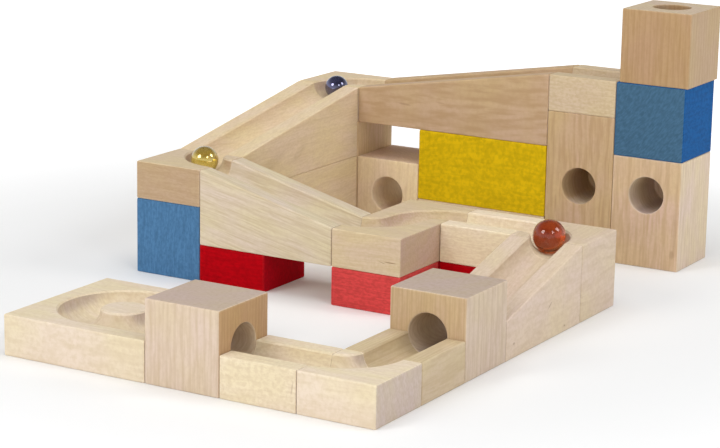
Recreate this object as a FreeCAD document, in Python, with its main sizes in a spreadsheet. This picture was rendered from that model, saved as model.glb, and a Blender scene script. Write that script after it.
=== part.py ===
import FreeCAD, Part
import os
import Sketcher

# A wooden marble run: a track of stacked beech blocks that falls from a drop
# block on a tower at the back right, round three sides of the layout, to a
# catch tray at the front left.  Sizes are in millimetres, +Z is up, and the
# origin is on the ground under the middle of the whole layout.
#
# The blocks stand on a square grid.  A column is one step along X, a row is
# one step along Y, and a level is half a cube up.  Column 0, row 0 is the
# front left cell of the catch tray.

# Driving dimensions: name, value, meaning.
DIMENSIONS = (
    ("cube_side", 50.0, "side of a cube in plan, and the width of every block"),
    ("half_height", 25.0, "height of a half block, which is one level"),
    ("seam", 0.2, "air gap between neighbouring blocks"),
    ("edge_round", 1.0, "radius sanded onto the sharp edges"),
    ("marble_room", 2.0, "how much the track's radius is over the biggest marble's"),
    ("ring_widening", 1.4, "how far the tray's ring runs wide of its entry"),
    ("back_wall", 7.5, "wood left behind a blind bore"),
    ("top_slip", 2.0, "how far the drop block has slipped along +X"),
    ("marble_gap", 0.3, "clearance under a marble in its groove"),
    ("brown_radius", 10.5, "radius of the brown glass marble"),
    ("yellow_radius", 9.25, "radius of the yellow glass marble"),
    ("blue_radius", 8.5, "radius of the blue glass marble"),
    ("brown_turn", 40.5, "degrees from the lower ramp round to the brown marble"),
    ("yellow_turn", 25.0, "degrees from the side ramp round to the yellow marble"),
    ("blue_turn", 20.6, "degrees from the side ramp round to the blue marble"),
)

COLUMNS_LEFT = 1     # columns that stand to the left of column 0
COLUMNS_RIGHT = 5    # columns from column 0 to the right-hand side
ROWS = 9             # rows from front to back

WIDTH = "Dims.cube_side"
HALF = "Dims.half_height"
MIDDLE = "Dims.cube_side / 2"
PITCH = "(Dims.cube_side + Dims.seam)"

# The half-round track and every bore have one radius.
RADIUS = "(Dims.brown_radius + Dims.marble_room)"

# A wider round cut with its centre above the top eases a groove's two lips.
LIP_RISE = f"({RADIUS} + Dims.edge_round / 2)"
LIP_RADIUS = f"sqrt(({RADIUS} + Dims.edge_round) ^ 2 + {LIP_RISE} ^ 2)"

# A sketch is drawn near these sizes first, and its expressions then set it.
FIRST_SIDE = 40
FIRST_RISE = 25
FIRST_RADIUS = 10

doc = FreeCAD.newDocument("marble_run")
pieces = []


# ---------------------------------------------------------------- the sheet

def fill_sheet():
    """Put every driving dimension in a cell with its name as the alias."""
    sheet = doc.addObject("Spreadsheet::Sheet", "Dims")
    for line, (name, value, meaning) in enumerate(DIMENSIONS, start=1):
        sheet.set(f"A{line}", meaning)
        sheet.set(f"B{line}", str(value))
        sheet.setAlias(f"B{line}", name)
    doc.recompute()


def span(cells):
    """Length of a block that covers this many cells, as an expression."""
    return f"({cells} * {PITCH} - Dims.seam)"


def levels(count):
    """Height of this many levels, as an expression."""
    return f"({count} * {HALF})"


def from_middle_x(cells, seams=0):
    """Place along X of a cell's left side, or of its right with seams=1."""
    middle = (f"(({COLUMNS_RIGHT} - {COLUMNS_LEFT}) * {PITCH} - Dims.seam"
              " + Dims.top_slip) / 2")
    return f"{cells} * {PITCH} - {seams} * Dims.seam - {middle}"


def from_middle_y(cells, seams=0):
    """Place along Y of a cell's front side, or of its back with seams=1."""
    return f"{cells} * {PITCH} - {seams} * Dims.seam - {span(ROWS)} / 2"


# ------------------------------------------------------------ sketch helpers

def origin_plane(body, role):
    """Find one of a body's own three origin planes by its role."""
    for feature in body.Origin.OriginFeatures:
        if feature.Role == role:
            return feature
    raise ValueError(role)


def new_sketch(body, name, role, shift_x="0", shift_normal="0"):
    """Attach a sketch to a body's plane, moved in it and off it."""
    sketch = body.newObject("Sketcher::SketchObject", name)
    sketch.AttachmentSupport = [(origin_plane(body, role), "")]
    sketch.MapMode = "FlatFace"
    sketch.setExpression("AttachmentOffset.Base.x", shift_x)
    sketch.setExpression("AttachmentOffset.Base.z", shift_normal)
    return sketch


def bind(sketch, kind, elements, name, expression):
    """Add a named constraint to a sketch and tie it to the sheet."""
    index = sketch.addConstraint(Sketcher.Constraint(kind, *elements, 1.0))
    sketch.renameConstraint(index, name)
    sketch.setExpression(f"Constraints.{name}", expression)


def draw_outline(sketch, corners):
    """Draw a closed outline whose first corner is the sketch's origin.

    Each corner gives its starting place and its two expressions.
    """
    count = len(corners)
    for number, (start, _, _) in enumerate(corners):
        end = corners[(number + 1) % count][0]
        line = Part.LineSegment(FreeCAD.Vector(*start, 0), FreeCAD.Vector(*end, 0))
        sketch.addGeometry(line, False)
    for number in range(count):
        following = (number + 1) % count
        joined = Sketcher.Constraint("Coincident", number, 2, following, 1)
        sketch.addConstraint(joined)
    sketch.addConstraint(Sketcher.Constraint("Coincident", 0, 1, -1, 1))
    for number, (_, across, up) in enumerate(corners[1:], start=1):
        for kind, axis, value in (("DistanceX", "Vertical", across),
                                  ("DistanceY", "Horizontal", up)):
            if value is None:
                sketch.addConstraint(Sketcher.Constraint(axis, -1, 1, number, 1))
            else:
                bind(sketch, kind, (-1, 1, number, 1), f"{kind}_{number}", value)


def draw_circle(sketch, across, up, radius=RADIUS, towards=1):
    """Draw one circle of a cut; towards=-1 puts it left of the origin."""
    start = FreeCAD.Vector(towards * FIRST_SIDE, FIRST_SIDE, 0)
    normal = FreeCAD.Vector(0, 0, 1)
    sketch.addGeometry(Part.Circle(start, normal, FIRST_RADIUS), False)
    first, last = ((-1, 1), (0, 3)) if towards > 0 else ((0, 3), (-1, 1))
    bind(sketch, "DistanceX", (*first, *last), "across", across)
    bind(sketch, "DistanceY", (-1, 1, 0, 3), "up", up)
    bind(sketch, "Radius", (0,), "radius", radius)


# ------------------------------------------------------------- block helpers

def new_body(label):
    """Start the body of one piece; its label names the piece."""
    body = doc.addObject("PartDesign::Body", label)
    body.Label = label
    pieces.append(body)
    return body


def sand_edges(body):
    """Round every edge that the block has so far."""
    doc.recompute()
    last_cut = body.Tip
    rounding = body.newObject("PartDesign::Fillet", "sanding")
    rounding.Base = (last_cut, [])
    rounding.UseAllEdges = True
    rounding.setExpression("Radius", "Dims.edge_round")


def pad_block(body, columns, rows, height):
    """Pad a plain block over a footprint of whole cells."""
    sketch = new_sketch(body, "footprint", "XY_Plane")
    draw_outline(sketch, (((0, 0), None, None),
                          ((FIRST_SIDE, 0), span(columns), None),
                          ((FIRST_SIDE, FIRST_SIDE), span(columns), span(rows)),
                          ((0, FIRST_SIDE), None, span(rows))))
    pad = body.newObject("PartDesign::Pad", "block")
    pad.Profile = sketch
    pad.setExpression("Length", height)


def cut_straight(body, name, role, across, up, depth, start="0", inward=True,
                 radius=RADIUS):
    """Cut a straight round channel.

    The circle lies on one of the body's planes, start away from it, and the
    cut runs inward, against the plane's normal, or outward along it.
    """
    sketch = new_sketch(body, f"{name}_circle", role, shift_normal=start)
    draw_circle(sketch, across, up, radius)
    cut = body.newObject("PartDesign::Pocket", name)
    cut.Profile = sketch
    cut.Reversed = not inward
    cut.setExpression("Length", depth)
    return cut


def groove_straight(body, name, across, top, depth, **settings):
    """Cut a half-round groove along +X in a top face, with eased lips."""
    cut_straight(body, name, "YZ_Plane", across, top, depth, inward=False,
                 **settings)
    cut_straight(body, f"{name}_lips", "YZ_Plane", across, f"{top} + {LIP_RISE}",
                 depth, inward=False, radius=LIP_RADIUS, **settings)


def cut_curve(body, name, centre, up, sweep, reach, clockwise, towards, radius):
    """Cut a round channel that turns about a vertical axis through centre."""
    sketch = new_sketch(body, f"{name}_circle", "XZ_Plane",
                        shift_x=centre[0], shift_normal=f"-({centre[1]})")
    draw_circle(sketch, reach, up, radius, towards)
    cut = body.newObject("PartDesign::Groove", name)
    cut.Profile = sketch
    cut.ReferenceAxis = (sketch, ["V_Axis"])
    cut.Angle = sweep
    cut.Reversed = clockwise


def groove_curve(body, name, centre, top, sweep, reach=MIDDLE, clockwise=False,
                 towards=1):
    """Cut a half-round groove that turns in a top face, with eased lips.

    A reach of half a cube brings the groove into and out of a block square
    to its sides and in their middle.  The turn starts on the centre's +X
    side, or on its -X side with towards=-1.
    """
    for label, up, radius in ((name, top, RADIUS),
                              (f"{name}_lips", f"{top} + {LIP_RISE}", LIP_RADIUS)):
        cut_curve(body, label, centre, up, sweep, reach, clockwise, towards, radius)


def place(piece, column, row, level, columns=1, rows=1, turns=0, slip="0"):
    """Stand a block on its cells, turned by quarter turns about Z.

    A block is modelled with its front left bottom corner at its own origin,
    and turning it puts that corner at another corner of its footprint.
    """
    right = turns in (1, 2)
    back = turns in (2, 3)
    across = from_middle_x(column + columns * right, int(right))
    along = from_middle_y(row + rows * back, int(back))
    piece.setExpression("Placement.Base.x", f"{across} + {slip}")
    piece.setExpression("Placement.Base.y", along)
    piece.setExpression("Placement.Base.z", levels(level))
    piece.setExpression("Placement.Rotation.Angle", str(90 * turns))
    piece.setExpression("Placement.Rotation.Axis.z", "1")


# ---------------------------------------------------------- kinds of block

def plain_block(label, column, row, level, columns=1, rows=1, high=2):
    """A block with no track in it."""
    body = new_body(label)
    pad_block(body, columns, rows, levels(high))
    sand_edges(body)
    place(body, column, row, level, columns, rows)


def straight_track(label, column, row, level, turns=0):
    """A half block with a straight half-round groove along its top."""
    body = new_body(label)
    pad_block(body, 1, 1, HALF)
    sand_edges(body)
    groove_straight(body, "groove", MIDDLE, HALF, WIDTH)
    place(body, column, row, level, turns=turns)


def corner_track(label, column, row, level, high=1, turns=0):
    """A block whose groove turns a quarter circle about its own origin."""
    body = new_body(label)
    pad_block(body, 1, 1, levels(high))
    sand_edges(body)
    groove_curve(body, "groove", ("0", "0"), levels(high), 90)
    place(body, column, row, level, turns=turns)


def ramp_track(label, column, row, level, cells, turns=0):
    """A wedge that climbs one level along its length, with a groove on top."""
    body = new_body(label)
    side = new_sketch(body, "side", "XZ_Plane")
    draw_outline(side, (((0, 0), None, None),
                        ((FIRST_SIDE, 0), span(cells), None),
                        ((FIRST_SIDE, 2 * FIRST_RISE), span(cells), levels(2)),
                        ((0, FIRST_RISE), None, HALF)))
    wedge = body.newObject("PartDesign::Pad", "wedge")
    wedge.Profile = side
    wedge.Reversed = True
    wedge.setExpression("Length", WIDTH)
    sand_edges(body)
    for name, up, radius in (("groove", HALF, RADIUS),
                             ("groove_lips", f"{HALF} + {LIP_RISE}", LIP_RADIUS)):
        cut = cut_straight(body, name, "YZ_Plane", MIDDLE, up, span(cells),
                           radius=radius)
        cut.UseCustomVector = True
        cut.AlongSketchNormal = True
        cut.setExpression("Direction.x", span(cells))
        cut.setExpression("Direction.y", "0")
        cut.setExpression("Direction.z", HALF)
    columns, rows = (cells, 1) if turns % 2 == 0 else (1, cells)
    place(body, column, row, level, columns, rows, turns)


def tunnel_cube(label, column, row, turns=0):
    """A cube with a bore right through its middle."""
    body = new_body(label)
    pad_block(body, 1, 1, levels(2))
    cut_straight(body, "bore", "YZ_Plane", MIDDLE, HALF, WIDTH, inward=False)
    sand_edges(body)
    place(body, column, row, 0, turns=turns)


def bored_tower(label, column, row, high):
    """A tall block with a blind bore in its front, one cube off the ground."""
    body = new_body(label)
    pad_block(body, 1, 1, levels(high))
    cut_straight(body, "bore", "XZ_Plane", MIDDLE, levels(2),
                 f"{WIDTH} - Dims.back_wall")
    sand_edges(body)
    place(body, column, row, 0)


# ------------------------------------------------------- one-off blocks

def catch_tray():
    """Two cubes square: a ring-shaped channel that the track runs into.

    The entry starts where its centre line crosses the ring's.
    """
    body = new_body("catch_tray")
    pad_block(body, 2, 2, HALF)
    sand_edges(body)
    middle = f"{span(2)} / 2"
    reach = f"({PITCH} / 2 + Dims.ring_widening)"
    crossing = f"{middle} + sqrt({reach} ^ 2 - ({PITCH} / 2) ^ 2)"
    groove_curve(body, "ring", (middle, middle), HALF, 360, reach=reach)
    groove_straight(body, "entry", MIDDLE, HALF, middle, start=crossing)
    place(body, 0, 0, 0, 2, 2)


def s_curve_track():
    """Two cells deep: the track steps one cell back in two quarter turns."""
    body = new_body("s_curve_track")
    pad_block(body, 1, 2, HALF)
    sand_edges(body)
    middle = f"{span(2)} / 2"
    groove_curve(body, "first_bend", ("0", middle), HALF, 90, clockwise=True)
    groove_curve(body, "second_bend", (WIDTH, middle), HALF, 90, clockwise=True,
                 towards=-1)
    place(body, 2, 4, 1, 1, 2)


def drop_block():
    """The cube that a marble is dropped into: in at the top, out at the left."""
    body = new_body("drop_block")
    pad_block(body, 1, 1, levels(2))
    cut_straight(body, "inlet", "XY_Plane", MIDDLE, MIDDLE, HALF, start=levels(2))
    cut_straight(body, "outlet", "YZ_Plane", MIDDLE, HALF, MIDDLE, inward=False)
    elbow = body.newObject("PartDesign::SubtractiveSphere", "elbow")
    elbow.AttachmentSupport = [(origin_plane(body, "XY_Plane"), "")]
    elbow.MapMode = "FlatFace"
    elbow.setExpression("AttachmentOffset.Base.x", MIDDLE)
    elbow.setExpression("AttachmentOffset.Base.y", MIDDLE)
    elbow.setExpression("AttachmentOffset.Base.z", HALF)
    elbow.setExpression("Radius", RADIUS)
    sand_edges(body)
    place(body, 4, 8, 5, slip="Dims.top_slip")


def marble(label, corner_x, corner_y, level, start, colour):
    """A glass marble part of the way round a corner block's groove.

    Corner_x and corner_y place the bend's centre, and start is the heading
    from there, in degrees, of the bend's end that the turn is counted from.
    """
    ball = doc.addObject("Part::Sphere", label)
    ball.Label = label
    heading = f"({start} + Dims.{colour}_turn)"
    sink = f"({RADIUS} - Dims.{colour}_radius - Dims.marble_gap)"
    ball.setExpression("Radius", f"Dims.{colour}_radius")
    ball.setExpression("Placement.Base.x", f"{corner_x} + {MIDDLE} * cos({heading})")
    ball.setExpression("Placement.Base.y", f"{corner_y} + {MIDDLE} * sin({heading})")
    ball.setExpression("Placement.Base.z", f"{levels(level)} - {sink}")
    pieces.append(ball)


# --------------------------------------------------------------- the layout

def front_and_right_run():
    """The low end of the track, from the lower ramp round to the tray."""
    catch_tray()
    tunnel_cube("front_tunnel_cube", 2, 0)
    straight_track("front_straight_track", 3, 0, 0)
    corner_track("low_corner_track", 4, 0, 0, turns=3)
    straight_track("right_straight_track", 4, 1, 0, turns=1)
    tunnel_cube("right_tunnel_cube", 4, 2, turns=1)
    ramp_track("lower_ramp", 4, 3, 0, 2, turns=1)
    corner_track("tall_corner_track", 4, 5, 0, high=2)


def middle_run():
    """The middle of the track, on four red half blocks and a blue cube."""
    straight_track("middle_straight_track", 3, 5, 1)
    s_curve_track()
    ramp_track("middle_ramp", 0, 4, 1, 2, turns=2)
    corner_track("left_corner_track", -1, 4, 2, turns=2)
    plain_block("blue_cube_left", -1, 4, 0)
    plain_block("red_support_left", 0, 4, 0, high=1)
    plain_block("red_support_front", 2, 4, 0, high=1)
    plain_block("red_support_back", 2, 5, 0, high=1)
    plain_block("red_support_right", 3, 5, 0, high=1)


def back_and_left_run():
    """The high end of the track, from the tower along the back and left."""
    ramp_track("side_ramp", -1, 5, 2, 3, turns=1)
    plain_block("side_ramp_support", -1, 6, 0, rows=2)
    corner_track("back_corner_track", -1, 8, 3, turns=1)
    plain_block("back_corner_column", -1, 8, 0, high=3)
    tunnel_cube("back_tunnel_cube", 0, 8, turns=1)
    ramp_track("upper_ramp", 0, 8, 3, 3)
    plain_block("yellow_block", 1, 8, 1, columns=2)
    plain_block("yellow_block_support", 1, 8, 0, columns=2, high=1)
    straight_track("upper_straight_track", 3, 8, 4)
    bored_tower("bored_tower_block", 3, 8, 4)
    bored_tower("tower_base", 4, 8, 3)
    plain_block("blue_cube_right", 4, 8, 3)
    drop_block()


def marbles():
    """Three marbles at rest, each in the groove of a corner block."""
    marble("brown_marble", f"({from_middle_x(4)})", f"({from_middle_y(5)})",
           2, 0, "brown")
    marble("yellow_marble", f"({from_middle_x(0, 1)})", f"({from_middle_y(5, 1)})",
           3, 180, "yellow")
    marble("blue_marble", f"({from_middle_x(0, 1)})", f"({from_middle_y(8)})",
           4, f"180 - 2 * Dims.blue_turn", "blue")


def check_and_write():
    """Stop on any failed feature or bad solid, then write every piece."""
    for item in doc.Objects:
        faults = [word for word in item.State if word in ("Invalid", "Error")]
        if faults:
            raise RuntimeError(f"{item.Label} {item.Name} failed: {faults}")
    for piece in pieces:
        shape = piece.Shape
        if shape.isNull() or not shape.isValid() or len(shape.Solids) != 1:
            raise RuntimeError(f"{piece.Label} is not one good solid")
    os.makedirs("parts", exist_ok=True)
    for piece in pieces:
        piece.Shape.exportStep(f"parts/{piece.Label}.step")
        box = piece.Shape.BoundBox
        print(f"{piece.Label}: volume {piece.Shape.Volume:.0f} mm3, "
              f"x {box.XMin:.1f} to {box.XMax:.1f}, y {box.YMin:.1f} to "
              f"{box.YMax:.1f}, z {box.ZMin:.1f} to {box.ZMax:.1f}")


fill_sheet()
front_and_right_run()
middle_run()
back_and_left_run()
marbles()
doc.recompute()
check_and_write()
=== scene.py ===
import math
from typing import NamedTuple

import bpy
from mathutils import Matrix, Vector


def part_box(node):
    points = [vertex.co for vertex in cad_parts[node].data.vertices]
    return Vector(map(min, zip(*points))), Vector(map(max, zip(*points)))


# A marble run of loose beech blocks, some of them stained red, blue or
# yellow, with three glass marbles resting in bends of the track.  Lengths
# are in metres, angles in degrees and powers in watts, unless a name says
# otherwise.  Patterns in the wood and the glass are laid out in millimetres.

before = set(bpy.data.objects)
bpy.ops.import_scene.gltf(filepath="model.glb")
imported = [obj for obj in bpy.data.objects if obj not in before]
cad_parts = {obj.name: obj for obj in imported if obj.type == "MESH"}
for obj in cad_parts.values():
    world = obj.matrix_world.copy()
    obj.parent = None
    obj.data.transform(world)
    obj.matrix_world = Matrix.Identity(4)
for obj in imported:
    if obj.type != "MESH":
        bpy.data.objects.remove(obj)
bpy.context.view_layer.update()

MM = 0.001

# ------------------------------------------------------------------ the view

CAMERA_AIM = Vector((0.008, -0.005, 0.050))
CAMERA_DISTANCE = 1.5
CAMERA_AZIMUTH = 30.43
CAMERA_ELEVATION = 13.44
CAMERA_ROLL = 1.0
CAMERA_LENS_MM = 118.4


def direction(azimuth, elevation):
    """From the blocks towards a viewer; azimuth 0 stands in front, at -Y."""
    around = math.radians(azimuth)
    up = math.radians(elevation)
    return Vector((math.sin(around) * math.cos(up),
                   -math.cos(around) * math.cos(up),
                   math.sin(up)))


def camera():
    """A long lens in front, to the right and a little above."""
    data = bpy.data.cameras.new("camera")
    data.lens = CAMERA_LENS_MM
    holder = bpy.data.objects.new("camera", data)
    bpy.context.scene.collection.objects.link(holder)
    back = direction(CAMERA_AZIMUTH, CAMERA_ELEVATION)
    around = math.radians(CAMERA_AZIMUTH)
    roll = math.radians(CAMERA_ROLL)
    level = Vector((math.cos(around), math.sin(around), 0.0))
    upright = back.cross(level)
    right = level * math.cos(roll) + upright * math.sin(roll)
    up = back.cross(right)
    turn = Matrix((right, up, back)).transposed().to_4x4()
    holder.matrix_world = Matrix.Translation(CAMERA_AIM + back * CAMERA_DISTANCE) @ turn
    bpy.context.scene.camera = holder


# ------------------------------------------------------------------ colours

GRAIN_TINT = (0.80, 0.74, 0.64)      # darker grain against the wood around it
FLAW_TINT = (0.42, 0.31, 0.22)       # a flaw against the wood around it
STAIN_GRAIN_SHADE = 0.64             # darker grain under a stain
DRIFT_IN_GREEN = 0.02                # how much green a full drift takes away
DRIFT_IN_BLUE = 0.10                 # how much blue it adds


def times(colour, factor):
    """A colour made lighter or darker."""
    return tuple(min(1.0, part * factor) for part in colour)


def tinge(colour, tint):
    """A colour multiplied by a tint."""
    return tuple(part * share for part, share in zip(colour, tint))


def ratio(colour, other):
    """The tint that turns the second colour into the first."""
    return tuple(part / base for part, base in zip(colour, other))


def drifted(colour, amount):
    """A colour moved towards pinkish, or towards yellowish below 0."""
    red, green, blue = colour
    return (red,
            green * (1.0 - DRIFT_IN_GREEN * amount),
            blue * (1.0 + DRIFT_IN_BLUE * amount))


# Sanded beech, as the light reflected in red, green and blue.
PALE = (0.75, 0.64, 0.48)
ROSY = (0.74, 0.60, 0.46)
STRAW = (0.70, 0.56, 0.38)
HONEY = (0.60, 0.44, 0.27)
TAN = (0.55, 0.39, 0.235)
# the next colour is only painted shade on one pair of faces, not a wood of its own
PAINTED_SHADE_TAWNY = (0.54, 0.35, 0.19)

# Stained beech.
RED = (0.47, 0.001, 0.0055)
PINK_RED = (0.72, 0.075, 0.072)
BLUE = (0.085, 0.210, 0.390)
DEEP_BLUE = (0.013, 0.110, 0.335)
YELLOW = (0.74, 0.50, 0.007)
STAINS = (RED, PINK_RED, BLUE, DEEP_BLUE, YELLOW)

# How faces sawn across the grain differ in colour from the others.
END_TINTS = {
    PALE: (0.78, 0.76, 0.85),
    ROSY: (0.78, 0.77, 0.84),
    STRAW: (0.90, 0.84, 0.93),
    HONEY: (0.84, 0.82, 0.88),
    TAN: (1.20, 1.36, 1.66),
    RED: (1.1, 3.0, 2.4),
    PINK_RED: (0.90, 1.0, 1.0),
    BLUE: (0.90, 0.95, 1.0),
    DEEP_BLUE: (5.4, 1.45, 0.78),
    YELLOW: (0.90, 0.85, 1.0),
}

# ----------------------------------------------------- how the wood was sawn


class Figure(NamedTuple):
    """How strongly each part of a wood's pattern shows, from 0 to 1."""

    rings: float      # dark latewood lines
    fibres: float     # thin streaks along the grain
    flecks: float     # short dashes of the rays
    specks: float     # fine mottling
    drift: float      # slow change from yellowish to pinkish
    sway_mm: float    # how far the rings wander


PLAIN = Figure(rings=0.20, fibres=0.40, flecks=0.20, specks=0.30, drift=0.8, sway_mm=9.0)
LINED = Figure(rings=0.42, fibres=0.55, flecks=0.08, specks=0.20, drift=0.7, sway_mm=2.0)
SPECKLED = Figure(rings=0.06, fibres=0.35, flecks=0.30, specks=0.45, drift=0.6, sway_mm=9.0)
STREAKED = Figure(rings=0.35, fibres=0.75, flecks=0.10, specks=0.22, drift=1.0, sway_mm=3.0)
STAINED = Figure(rings=0.10, fibres=0.45, flecks=0.20, specks=0.55, drift=0.0, sway_mm=9.0)


class Cut(NamedTuple):
    """How one block was sawn from its trunk."""

    axis: str                  # the axis that the grain runs along
    colour: tuple
    shade: float = 1.0         # how light it is; for a few blocks also painted light that offsets their shade
    figure: Figure = PLAIN
    ring_mm: float = 4.0       # between two growth rings
    quarter: float = 30.0      # how far round the trunk
    tilt: float = 0.0          # of the grain
    painted_shade_axis: str = ""        # the axis that its two faces with painted shade look along
    # the darker, warmer colour painted on those two faces as shade
    painted_shade_colour: tuple = TAN


BLOCKS = {
    "catch_tray": Cut("x", PALE, 1.05, PLAIN, 7.0, 80),
    "front_tunnel_cube": Cut("z", ROSY, 0.93, LINED, 2.3, 5,
                             painted_shade_axis="x", painted_shade_colour=PAINTED_SHADE_TAWNY),
    "front_straight_track": Cut("x", PALE, 1.08, SPECKLED, 5.0, 20),
    "low_corner_track": Cut("x", PALE, 1.08, PLAIN, 6.0, 60),
    "right_straight_track": Cut("y", STRAW, 0.91, LINED, 2.4, 10),
    "right_tunnel_cube": Cut("z", ROSY, 0.90, LINED, 2.6, 50,
                             painted_shade_axis="y", painted_shade_colour=HONEY),
    "lower_ramp": Cut("y", ROSY, 0.98, PLAIN, 4.0, 35),
    "tall_corner_track": Cut("y", ROSY, 0.96, PLAIN, 3.4, 75),
    # painted light: made lighter to offset the shade that falls on it
    "middle_straight_track": Cut("x", PALE, 1.16, SPECKLED, 5.0, 85),
    "s_curve_track": Cut("x", STRAW, 0.98, PLAIN, 6.0, 40),
    "middle_ramp": Cut("x", PALE, 0.93, STREAKED, 5.5, 30, tilt=12),
    "left_corner_track": Cut("x", STRAW, 0.96, PLAIN, 4.0, 15,
                             painted_shade_axis="y", painted_shade_colour=times(TAN, 0.92)),
    "side_ramp": Cut("y", STRAW, 1.10, PLAIN, 9.0, 70),
    "side_ramp_support": Cut("y", STRAW, 1.08, PLAIN, 5.0, 25),
    "back_corner_track": Cut("x", STRAW, 1.05, PLAIN, 4.0, 55),
    # painted light: made lighter to offset the shade that falls on it
    "back_corner_column": Cut("z", HONEY, 1.20, STREAKED, 3.2, 30),
    # painted light: made lighter to offset the shade that falls on it
    "back_tunnel_cube": Cut("z", STRAW, 1.20, PLAIN, 4.0, 65),
    "upper_ramp": Cut("x", TAN, 1.02, STREAKED, 2.2, 12, tilt=-2),
    "yellow_block_support": Cut("x", STRAW, 1.00, PLAIN, 4.0, 45),
    "upper_straight_track": Cut("x", STRAW, 0.93, SPECKLED, 4.0, 80),
    "bored_tower_block": Cut("z", TAN, 1.05, STREAKED, 4.4, 20),
    "tower_base": Cut("z", ROSY, 1.00, STREAKED, 3.6, 8,
                      painted_shade_axis="y", painted_shade_colour=(0.66, 0.48, 0.32)),
    "drop_block": Cut("z", TAN, 0.90, LINED, 3.0, 35,
                      painted_shade_axis="y", painted_shade_colour=times(PAINTED_SHADE_TAWNY, 0.88)),
    "red_support_left": Cut("x", RED, 1.0, STAINED, 4.0, 15),
    "red_support_front": Cut("x", PINK_RED, 1.0, STAINED, 4.0, 60),
    "red_support_back": Cut("x", RED, 1.0, STAINED, 4.0, 35),
    "red_support_right": Cut("x", RED, 1.0, STAINED, 4.0, 80),
    "blue_cube_left": Cut("z", BLUE, 1.0, STAINED, 3.5, 40),
    "blue_cube_right": Cut("y", DEEP_BLUE, 1.0, STAINED, 3.5, 10),
    "yellow_block": Cut("x", YELLOW, 1.0, STAINED, 6.0, 25),
}


class Mark(NamedTuple):
    """One small flaw, an ellipsoid in mm from the low corner of a block's box."""

    middle: tuple
    half_size: tuple
    turn: tuple = (0.0, 0.0, 0.0)    # round the three axes
    depth: float = 0.6               # how dark it is, from 0 to 1


# How dark a mark is.
CRACK = 0.85
SMEAR = 0.34
HAZE = 0.16

MARKS = {
    "s_curve_track": (Mark((43.0, 0.0, 8.6), (6.0, 3.0, 0.45), depth=CRACK),
                      Mark((37.0, 0.0, 8.0), (3.0, 3.0, 0.35), (0, 12, 0))),
    "lower_ramp": (Mark((50.0, 57.0, 21.5), (3.0, 4.0, 0.45), (38, 0, 0), CRACK),
                   Mark((50.0, 10.0, 9.0), (2.0, 1.6, 1.1)),
                   Mark((50.0, 78.0, 4.0), (2.0, 1.4, 0.9))),
    "tower_base": (Mark((45.5, 0.0, 11.5), (2.6, 5.0, 4.0), depth=SMEAR),
                   Mark((47.0, 0.0, 27.0), (2.2, 5.0, 21.0), depth=HAZE)),
    "upper_ramp": (Mark((38.0, 0.0, 17.0), (7.0, 4.0, 1.0), (0, 4, 0), SMEAR),
                   Mark((66.0, 0.0, 21.0), (5.0, 4.0, 0.7), (0, 4, 0), HAZE)),
    "front_straight_track": (Mark((47.5, 0.0, 14.0), (0.7, 4.0, 5.0), (0, 8, 0), SMEAR),),
    "side_ramp": (Mark((50.0, 40.0, 15.0), (6.0, 20.0, 6.0), (16, 0, 0), HAZE),
                  Mark((50.0, 72.0, 16.0), (6.0, 14.0, 4.0), (28, 0, 0), HAZE)),
}

FLAW_CORE = 0.35    # the evenly dark middle of a flaw, as a share of its size

# --------------------------------------------------------- shaders from nodes


class Shader:
    """Short ways to add linked nodes to one new material."""

    # The colour sockets of a Mix node, which share their names with others.
    MIX_FIRST = 6
    MIX_SECOND = 7
    MIX_RESULT = 2

    def __init__(self, name):
        self.material = bpy.data.materials.new(name)
        self.material.use_nodes = True
        self.tree = self.material.node_tree
        self.tree.nodes.clear()

    def add(self, kind, inputs, **settings):
        """Add a node; an input is a value or another node's output."""
        node = self.tree.nodes.new(kind)
        for name, value in settings.items():
            setattr(node, name, value)
        for name, value in inputs.items():
            if isinstance(value, bpy.types.NodeSocket):
                self.tree.links.new(value, node.inputs[name])
            else:
                node.inputs[name].default_value = value
        return node

    def coordinate(self, kind):
        """Where a point is on the object ("Object"), or its "Normal"."""
        return self.add("ShaderNodeTexCoord", {}).outputs[kind]

    def math(self, operation, first, second=0.0):
        """Work out one sum on one or two numbers."""
        node = self.add("ShaderNodeMath", {0: first, 1: second},
                        operation=operation)
        return node.outputs[0]

    def plus(self, first, second):
        """Two numbers added."""
        return self.math("ADD", first, second)

    def minus(self, first, second):
        """The second number taken from the first."""
        return self.math("SUBTRACT", first, second)

    def product(self, first, second):
        """Two numbers multiplied."""
        return self.math("MULTIPLY", first, second)

    def length(self, vector):
        """How long a vector is."""
        node = self.add("ShaderNodeVectorMath", {0: vector}, operation="LENGTH")
        return node.outputs["Value"]

    def scaled(self, vector, factors):
        """Stretch a vector by three factors."""
        node = self.add("ShaderNodeVectorMath", {0: vector, 1: factors},
                        operation="MULTIPLY")
        return node.outputs[0]

    def noise(self, vector, factors, detail):
        """Smooth noise from 0 to 1, with this many cells to a millimetre."""
        node = self.add("ShaderNodeTexNoise",
                        {"Vector": self.scaled(vector, factors),
                         "Scale": 1.0, "Detail": detail})
        return node.outputs["Fac"]

    def ramp(self, value, none, full):
        """A smooth step from 0 at none to 1 at full, which may be the lower."""
        node = self.add("ShaderNodeMapRange",
                        {"Value": value, "From Min": none, "From Max": full},
                        interpolation_type="SMOOTHSTEP")
        return node.outputs["Result"]

    def mix(self, factor, first, second, blend="MIX"):
        """Mix two colours."""
        node = self.add("ShaderNodeMix",
                        {"Factor": factor, self.MIX_FIRST: opaque(first),
                         self.MIX_SECOND: opaque(second)},
                        data_type="RGBA", blend_type=blend)
        return node.outputs[self.MIX_RESULT]

    def finish(self, surface, **more):
        """Send a shader to the surface, and any other to its own socket."""
        self.add("ShaderNodeOutputMaterial", {"Surface": surface, **more})
        return self.material


def opaque(colour):
    """A colour with its alpha, or a node's output as it is."""
    if isinstance(colour, bpy.types.NodeSocket):
        return colour
    return (*colour, 1.0)


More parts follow.
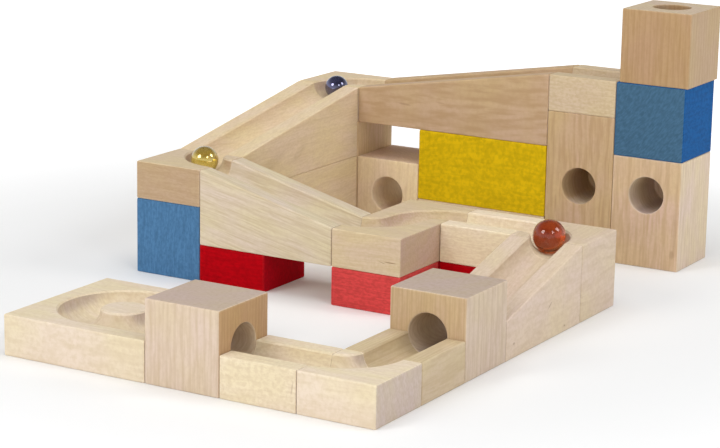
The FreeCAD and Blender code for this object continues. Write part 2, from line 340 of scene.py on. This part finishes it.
class Noise(NamedTuple):
    """A pattern of noise, and the part of it that shows."""

    fineness: tuple    # cells to a mm: away from the pith, round it and along it
    detail: float
    none: float        # the noise that doesn't show at all
    full: float        # the noise that shows in full


FIBRES = Noise((1.0, 1.0, 0.05), detail=3.0, none=0.60, full=0.30)
SPECKS = Noise((0.75, 1.10, 0.33), detail=2.0, none=0.38, full=0.66)
FLECKS = Noise((0.30, 1.30, 0.50), detail=1.0, none=0.55, full=0.67)
DRIFT = Noise((0.07, 0.07, 0.025), detail=2.0, none=0.3, full=0.7)

SWAY_FINENESS = (0.03, 0.03, 0.012)
SWAY_DETAIL = 1.0


def shown(shader, place, noise):
    """How much of a noise shows at a place, from 0 to 1."""
    raw = shader.noise(place, noise.fineness, noise.detail)
    return shader.ramp(raw, noise.none, noise.full)


# ------------------------------------------------------ the parts of the wood

# Turns round X and Y that stand a block's grain up along Z.
GRAIN_TURNS = {
    "x": (0.0, -90.0),
    "y": (90.0, 0.0),
    "z": (0.0, 0.0),
}
AXES = {
    "x": (1.0, 0.0, 0.0),
    "y": (0.0, 1.0, 0.0),
    "z": (0.0, 0.0, 1.0),
}
PITH_MM = 90.0             # how far off a block the trunk's middle is
BLOCK_ASIDE_MM = 13.0      # how far each block lies from the last one, so
BLOCK_ALONG_MM = 71.0      # that no two show the same pattern

LATEWOOD_START = 0.45      # as a share of the way from one ring to the next
LATEWOOD_DARKEST = 0.90

FACING_START = 0.7         # cosines between a face and the axis it looks along
FACING_FULL = 0.95

# Edges are painted lighter: partly wear, partly painted highlight where rounded edges catch
# the light.
WEAR_AND_HIGHLIGHT_WIDTH = 1.6 * MM      # how far in from an edge the wear and painted highlight reach
WEAR_AND_HIGHLIGHT_SAMPLES = 4           # rays that feel for an edge
WEAR_AND_HIGHLIGHT_START = 0.15          # how exposed a place is where the wear and painted highlight start
WEAR_AND_HIGHLIGHT_FULL = 0.6
WORN_AND_HIGHLIT_FIBRE_NONE = 0.2      # the fibre noise that keeps the wear and painted highlight off
WORN_AND_HIGHLIT_FIBRE_FULL = 0.6      # and the one that it takes in full
WEAR_AND_HIGHLIGHT_STRENGTH = 0.6
WORN_AND_HIGHLIT_SHADE = 1.25          # how much lighter plain wood is along edges, from wear and painted highlight
WORN_AND_HIGHLIT_STAIN = 0.07          # light that a worn stain and painted highlight add to each colour

ROUGHNESS = 0.46
FIBRE_ROUGHNESS = 0.20     # more where the fibres stand up
END_ROUGHNESS = 0.10       # more on faces across the grain
RELIEF_HEIGHT = 0.03 * MM  # of the raised grain
RELIEF_STRENGTH = 0.6
RING_RELIEF = 0.4          # how deep the rings lie, against the fibres
WOOD_IOR = 1.45
PLAIN_SPECULAR = 0.25
STAIN_SPECULAR = 0.03


class Grain(NamedTuple):
    """The patterns of one block, each a node's output."""

    place: bpy.types.NodeSocket     # in the trunk, in mm
    rings: bpy.types.NodeSocket     # this and the others go from 0 to 1
    fibres: bpy.types.NodeSocket    # the whole noise, not only what shows
    ends: bpy.types.NodeSocket      # 1 on the faces across the grain


def grain_of(shader, cut, number):
    """Lay a block's patterns out round the trunk that it was sawn from."""
    turn_x, turn_y = GRAIN_TURNS[cut.axis]
    turns = (turn_x, turn_y - cut.tilt, cut.quarter)
    sawn = shader.add("ShaderNodeMapping", {
        "Vector": shader.coordinate("Object"),
        "Location": (PITH_MM, BLOCK_ASIDE_MM * number, BLOCK_ALONG_MM * number),
        "Rotation": [math.radians(turn) for turn in turns],
        "Scale": (1 / MM, 1 / MM, 1 / MM)}).outputs[0]
    across, beside, along = shader.add("ShaderNodeSeparateXYZ", {"Vector": sawn}).outputs
    squares = shader.plus(shader.product(across, across), shader.product(beside, beside))
    sway = shader.noise(sawn, SWAY_FINENESS, SWAY_DETAIL)
    radius = shader.plus(shader.math("SQRT", squares),
                         shader.product(sway, cut.figure.sway_mm))
    around = shader.product(shader.math("ARCTAN2", beside, across), PITH_MM)
    place = shader.add("ShaderNodeCombineXYZ",
                       {"X": radius, "Y": around, "Z": along}).outputs[0]
    return Grain(place, growth_rings(shader, radius, cut.ring_mm),
                 shader.noise(place, FIBRES.fineness, FIBRES.detail),
                 faces_along(shader, cut.axis))


def growth_rings(shader, radius, ring_mm):
    """Dark latewood lines, 0 to 1, once a ring."""
    phase = shader.math("FRACT", shader.math("DIVIDE", radius, ring_mm))
    rise = shader.ramp(phase, LATEWOOD_START, LATEWOOD_DARKEST)
    fall = shader.ramp(phase, LATEWOOD_DARKEST, 1.0)
    return shader.minus(rise, fall)


def faces_along(shader, axis):
    """1 on the faces that look along an axis, 0 on the others."""
    facing = shader.add("ShaderNodeVectorMath",
                        {0: shader.coordinate("Normal"), 1: AXES[axis]},
                        operation="DOT_PRODUCT").outputs["Value"]
    return shader.ramp(shader.math("ABSOLUTE", facing), FACING_START, FACING_FULL)


def worn_and_highlit_edges(shader, fibres):
    """1 along outer edges and lips, broken up by the fibres: where wear and painted
    highlight go.
    """
    depth = shader.add("ShaderNodeAmbientOcclusion", {"Distance": WEAR_AND_HIGHLIGHT_WIDTH},
                       samples=WEAR_AND_HIGHLIGHT_SAMPLES, inside=True, only_local=True).outputs["AO"]
    near = shader.ramp(shader.minus(1.0, depth), WEAR_AND_HIGHLIGHT_START, WEAR_AND_HIGHLIGHT_FULL)
    return shader.product(near, shader.ramp(fibres, WORN_AND_HIGHLIT_FIBRE_NONE, WORN_AND_HIGHLIT_FIBRE_FULL))


def flaw(shader, corner, mark):
    """1 in the middle of a mark, 0 outside it."""
    inside = shader.add("ShaderNodeMapping", {
        "Vector": shader.coordinate("Object"),
        "Location": corner + Vector(mark.middle) * MM,
        "Rotation": [math.radians(angle) for angle in mark.turn],
        "Scale": [half * MM for half in mark.half_size]},
        vector_type="TEXTURE").outputs[0]
    return shader.ramp(shader.length(inside), 1.0, FLAW_CORE)


def darkened(shader, tone, strength, mask, dark):
    """A tone pulled towards a darker one where a mask is 1."""
    return shader.mix(shader.product(mask, strength), tone, dark)


def tinted(shader, tone, mask, tint):
    """A tone multiplied by a colour where a mask is 1."""
    return shader.mix(mask, tone, shader.mix(1.0, tone, tint, "MULTIPLY"))


def wood_tone(shader, cut, colour, grain):
    """The colour of the wood with its figure and the painted shade on two faces, before
    flaws and the wear and painted highlight along the edges.
    """
    figure = cut.figure
    dark = tinge(colour, GRAIN_TINT)
    if cut.colour in STAINS:
        dark = times(colour, STAIN_GRAIN_SHADE)
    tone = shader.mix(shown(shader, grain.place, DRIFT),
                      drifted(colour, -figure.drift), drifted(colour, figure.drift))
    for strength, mask in (
            (figure.rings, grain.rings),
            (figure.fibres, shader.ramp(grain.fibres, FIBRES.none, FIBRES.full)),
            (figure.flecks, shown(shader, grain.place, FLECKS)),
            (figure.specks, shown(shader, grain.place, SPECKS))):
        tone = darkened(shader, tone, strength, mask, dark)
    tone = tinted(shader, tone, grain.ends, END_TINTS[cut.colour])
    # Painted shade: the two faces along this axis get a darker, warmer colour.
    if cut.painted_shade_axis:
        tone = tinted(shader, tone, faces_along(shader, cut.painted_shade_axis),
                      ratio(cut.painted_shade_colour, colour))
    return tone


def wood(name, number, cut, corner, marks):
    """Sanded and lightly oiled beech, plain or stained."""
    shader = Shader(name)
    colour = times(cut.colour, cut.shade)
    grain = grain_of(shader, cut, number)
    tone = wood_tone(shader, cut, colour, grain)
    for mark in marks:
        tone = darkened(shader, tone, mark.depth, flaw(shader, corner, mark),
                        tinge(colour, FLAW_TINT))
    worn_and_highlit = times(colour, WORN_AND_HIGHLIT_SHADE)
    specular = PLAIN_SPECULAR
    if cut.colour in STAINS:
        worn_and_highlit = tuple(part + WORN_AND_HIGHLIT_STAIN for part in colour)
        specular = STAIN_SPECULAR
    # Edges are painted lighter, as wear and as painted highlight.
    wear_and_highlight = shader.product(worn_and_highlit_edges(shader, grain.fibres), WEAR_AND_HIGHLIGHT_STRENGTH)

    rough = shader.plus(ROUGHNESS, shader.product(grain.fibres, FIBRE_ROUGHNESS))
    rough = shader.plus(rough, shader.product(grain.ends, END_ROUGHNESS))
    relief = shader.minus(grain.fibres, shader.product(grain.rings, RING_RELIEF))
    bump = shader.add("ShaderNodeBump", {"Strength": RELIEF_STRENGTH,
                                         "Distance": RELIEF_HEIGHT,
                                         "Height": relief}).outputs[0]
    surface = shader.add("ShaderNodeBsdfPrincipled", {
        "Base Color": shader.mix(wear_and_highlight, tone, worn_and_highlit), "Roughness": rough,
        "Normal": bump, "IOR": WOOD_IOR, "Specular IOR Level": specular})
    return shader.finish(surface.outputs[0])


# ---------------------------------------------------------------- the glass

SWIRL_RISE = 0.5           # how fine the swirls are upwards, against sideways
SWIRL_DETAIL = 3.0
SWIRL_NONE = 0.35
SWIRL_FULL = 0.7
PRINT_FINENESS = (0.7, 0.7, 0.7)
PRINT_DETAIL = 4.0
PRINT_NONE = 0.5
PRINT_FULL = 0.8
COAT_ROUGHNESS = 0.02


class Glass(NamedTuple):
    """Clear glass, its colour and how it shines."""

    colour: tuple         # at the surface
    swirl_colour: tuple
    swirl_mm: float       # how large the swirls in it are
    ior: float
    lustre: float         # how metallic it looks
    coat: float           # how strong the outer reflection is
    tint: tuple           # of the light that passes through
    density: float        # of that tint, for each metre of glass


AMBER = Glass((1.0, 0.88, 0.70), (0.80, 0.55, 0.35), swirl_mm=5.0, ior=1.52,
              lustre=0.0, coat=0.5, tint=(0.84, 0.42, 0.0), density=190.0)
YELLOW_GOLD = Glass((0.90, 0.76, 0.22), (1.0, 0.94, 0.50), swirl_mm=6.0, ior=1.6,
                    lustre=0.35, coat=1.0, tint=(0.94, 0.88, 0.10), density=35.0)
CLEAR_ROUGHNESS = 0.0
CLEAR_PRINTS = 0.03        # how much rougher the fingerprints are

DARK_BLUE = (0.030, 0.030, 0.105)
DARK_BLUE_SWIRL = (0.12, 0.12, 0.28)
DARK_BLUE_SWIRL_MM = 8.0
DARK_BLUE_IOR = 1.52
DARK_BLUE_COAT_IOR = 1.9
DARK_BLUE_LUSTRE = 0.8
DARK_BLUE_ROUGHNESS = 0.03
DARK_BLUE_PRINTS = 0.05


def place_in_mm(shader):
    """Where a point of the glass is, in mm."""
    return shader.scaled(shader.coordinate("Object"), (1 / MM, 1 / MM, 1 / MM))


def swirl(shader, size_mm):
    """Slow clouds inside the glass, 0 to 1."""
    fineness = (1 / size_mm, 1 / size_mm, SWIRL_RISE / size_mm)
    clouds = shader.noise(place_in_mm(shader), fineness, SWIRL_DETAIL)
    return shader.ramp(clouds, SWIRL_NONE, SWIRL_FULL)


def handling_marks(shader, smooth, dull):
    """Roughness of polished glass with faint fingerprints."""
    smudges = shader.noise(place_in_mm(shader), PRINT_FINENESS, PRINT_DETAIL)
    prints = shader.ramp(smudges, PRINT_NONE, PRINT_FULL)
    return shader.plus(smooth, shader.product(prints, dull))


def clear_glass(name, glass):
    """Tinted glass that darkens with the length of glass looked through."""
    shader = Shader(name)
    surface = shader.add("ShaderNodeBsdfPrincipled", {
        "Base Color": shader.mix(swirl(shader, glass.swirl_mm),
                                 glass.colour, glass.swirl_colour),
        "Roughness": handling_marks(shader, CLEAR_ROUGHNESS, CLEAR_PRINTS),
        "Transmission Weight": 1.0, "IOR": glass.ior, "Metallic": glass.lustre,
        "Coat Weight": glass.coat, "Coat Roughness": COAT_ROUGHNESS})
    inside = shader.add("ShaderNodeVolumeAbsorption",
                        {"Color": opaque(glass.tint), "Density": glass.density})
    return shader.finish(surface.outputs[0], Volume=inside.outputs[0])


def dark_blue_glass():
    """Dark blue glass with a metallic lustre, which no light passes through."""
    shader = Shader("dark_blue_glass")
    surface = shader.add("ShaderNodeBsdfPrincipled", {
        "Base Color": shader.mix(swirl(shader, DARK_BLUE_SWIRL_MM),
                                 DARK_BLUE, DARK_BLUE_SWIRL),
        "Roughness": handling_marks(shader, DARK_BLUE_ROUGHNESS, DARK_BLUE_PRINTS),
        "IOR": DARK_BLUE_IOR, "Metallic": DARK_BLUE_LUSTRE,
        "Coat Weight": 1.0, "Coat IOR": DARK_BLUE_COAT_IOR,
        "Coat Roughness": COAT_ROUGHNESS})
    return shader.finish(surface.outputs[0])


# --------------------------------------------------------------- the pieces

def finish_pieces():
    """Give every piece its own material."""
    for number, (node, cut) in enumerate(BLOCKS.items()):
        corner = Vector(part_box(node)[0])
        marks = MARKS.get(node, ())
        set_material(node, wood(f"wood_{node}", number, cut, corner, marks))
    set_material("brown_marble", clear_glass("amber_glass", AMBER))
    set_material("yellow_marble", clear_glass("yellow_glass", YELLOW_GOLD))
    set_material("blue_marble", dark_blue_glass())


def set_material(node, material):
    """Put a material in every slot of a piece."""
    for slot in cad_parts[node].material_slots:
        slot.material = material


# -------------------------------------------------------- the studio around

WHITE = (1.0, 1.0, 1.0)
WARM_WHITE = (1.0, 0.98, 0.95)
COOL_WHITE = (0.98, 0.99, 1.0)

FLOOR_SIDE = 12.0
FLOOR_COLOUR = (0.87, 0.87, 0.87)
FLOOR_ROUGHNESS = 0.8
FLOOR_LIGHT = 0.05         # that the floor gives off under the blocks
FAR_FLOOR_LIGHT = 0.55     # more of it away from them
FAR_FLOOR_START = 0.22     # from the middle of the blocks
FAR_FLOOR_FULL = 0.8

WALL_LIGHT = 0.78
CEILING_LIGHT = 0.12
WALL_TOP = 0.10            # sine of the elevation where the walls start to darken
CEILING_EDGE = 0.75        # sine of the elevation where the ceiling is darkest


class Lamp(NamedTuple):
    """A round soft light that faces the camera's aim."""

    azimuth: float                 # from the front, towards the right
    elevation: float
    distance: float                # from the camera's aim
    size: float                    # across
    power: float
    colour: tuple = WHITE
    in_reflections: bool = True


LAMPS = {
    "key_left": Lamp(-25, 34, 1.9, 0.85, 9.5, WARM_WHITE),
    "key_middle": Lamp(58, 35, 1.9, 0.50, 3.2),
    "key_right": Lamp(110, 39, 1.9, 0.70, 6.2),
    "overhead": Lamp(20, 86, 2.4, 2.4, 33.5, COOL_WHITE, in_reflections=False),
    "front": Lamp(8, 10, 2.6, 0.8, 8.0, in_reflections=False),
}


def pale_floor():
    """A seamless pale floor under the blocks."""
    half = FLOOR_SIDE / 2
    mesh = bpy.data.meshes.new("floor")
    corners = [(-half, -half, 0), (half, -half, 0), (half, half, 0), (-half, half, 0)]
    mesh.from_pydata(corners, [], [(0, 1, 2, 3)])
    floor = bpy.data.objects.new("floor", mesh)
    bpy.context.scene.collection.objects.link(floor)
    shader = Shader("floor")
    distance = shader.length(shader.coordinate("Object"))
    far = shader.ramp(distance, FAR_FLOOR_START, FAR_FLOOR_FULL)
    glow = shader.plus(shader.product(far, FAR_FLOOR_LIGHT), FLOOR_LIGHT)
    surface = shader.add("ShaderNodeBsdfPrincipled", {
        "Base Color": opaque(FLOOR_COLOUR), "Roughness": FLOOR_ROUGHNESS,
        "Emission Color": opaque(WHITE), "Emission Strength": glow})
    mesh.materials.append(shader.finish(surface.outputs[0]))


def studio_lights():
    """Three round softboxes, a wide panel overhead and a fill light in front."""
    for name, lamp in LAMPS.items():
        light = bpy.data.lights.new(name, "AREA")
        light.shape = "DISK"
        light.size = lamp.size
        light.energy = lamp.power
        light.color = lamp.colour
        holder = bpy.data.objects.new(name, light)
        bpy.context.scene.collection.objects.link(holder)
        towards = direction(lamp.azimuth, lamp.elevation)
        holder.location = CAMERA_AIM + towards * lamp.distance
        holder.rotation_mode = "QUATERNION"
        holder.rotation_quaternion = towards.to_track_quat("Z", "Y")
        holder.visible_glossy = lamp.in_reflections


def pale_room():
    """White walls under a darker ceiling."""
    world = bpy.data.worlds.new("studio")
    world.use_nodes = True
    tree = world.node_tree
    outwards = tree.nodes.new("ShaderNodeTexCoord").outputs["Generated"]
    split = tree.nodes.new("ShaderNodeSeparateXYZ")
    height = tree.nodes.new("ShaderNodeMapRange")
    height.interpolation_type = "SMOOTHSTEP"
    for name, value in (("From Min", WALL_TOP), ("From Max", CEILING_EDGE),
                        ("To Min", WALL_LIGHT), ("To Max", CEILING_LIGHT)):
        height.inputs[name].default_value = value
    background = tree.nodes["Background"]
    background.inputs["Color"].default_value = opaque(COOL_WHITE)
    tree.links.new(outwards, split.inputs[0])
    tree.links.new(split.outputs["Z"], height.inputs["Value"])
    tree.links.new(height.outputs["Result"], background.inputs["Strength"])
    bpy.context.scene.world = world


bpy.context.scene.view_settings.view_transform = "Standard"
camera()
pale_floor()
studio_lights()
pale_room()
finish_pieces()
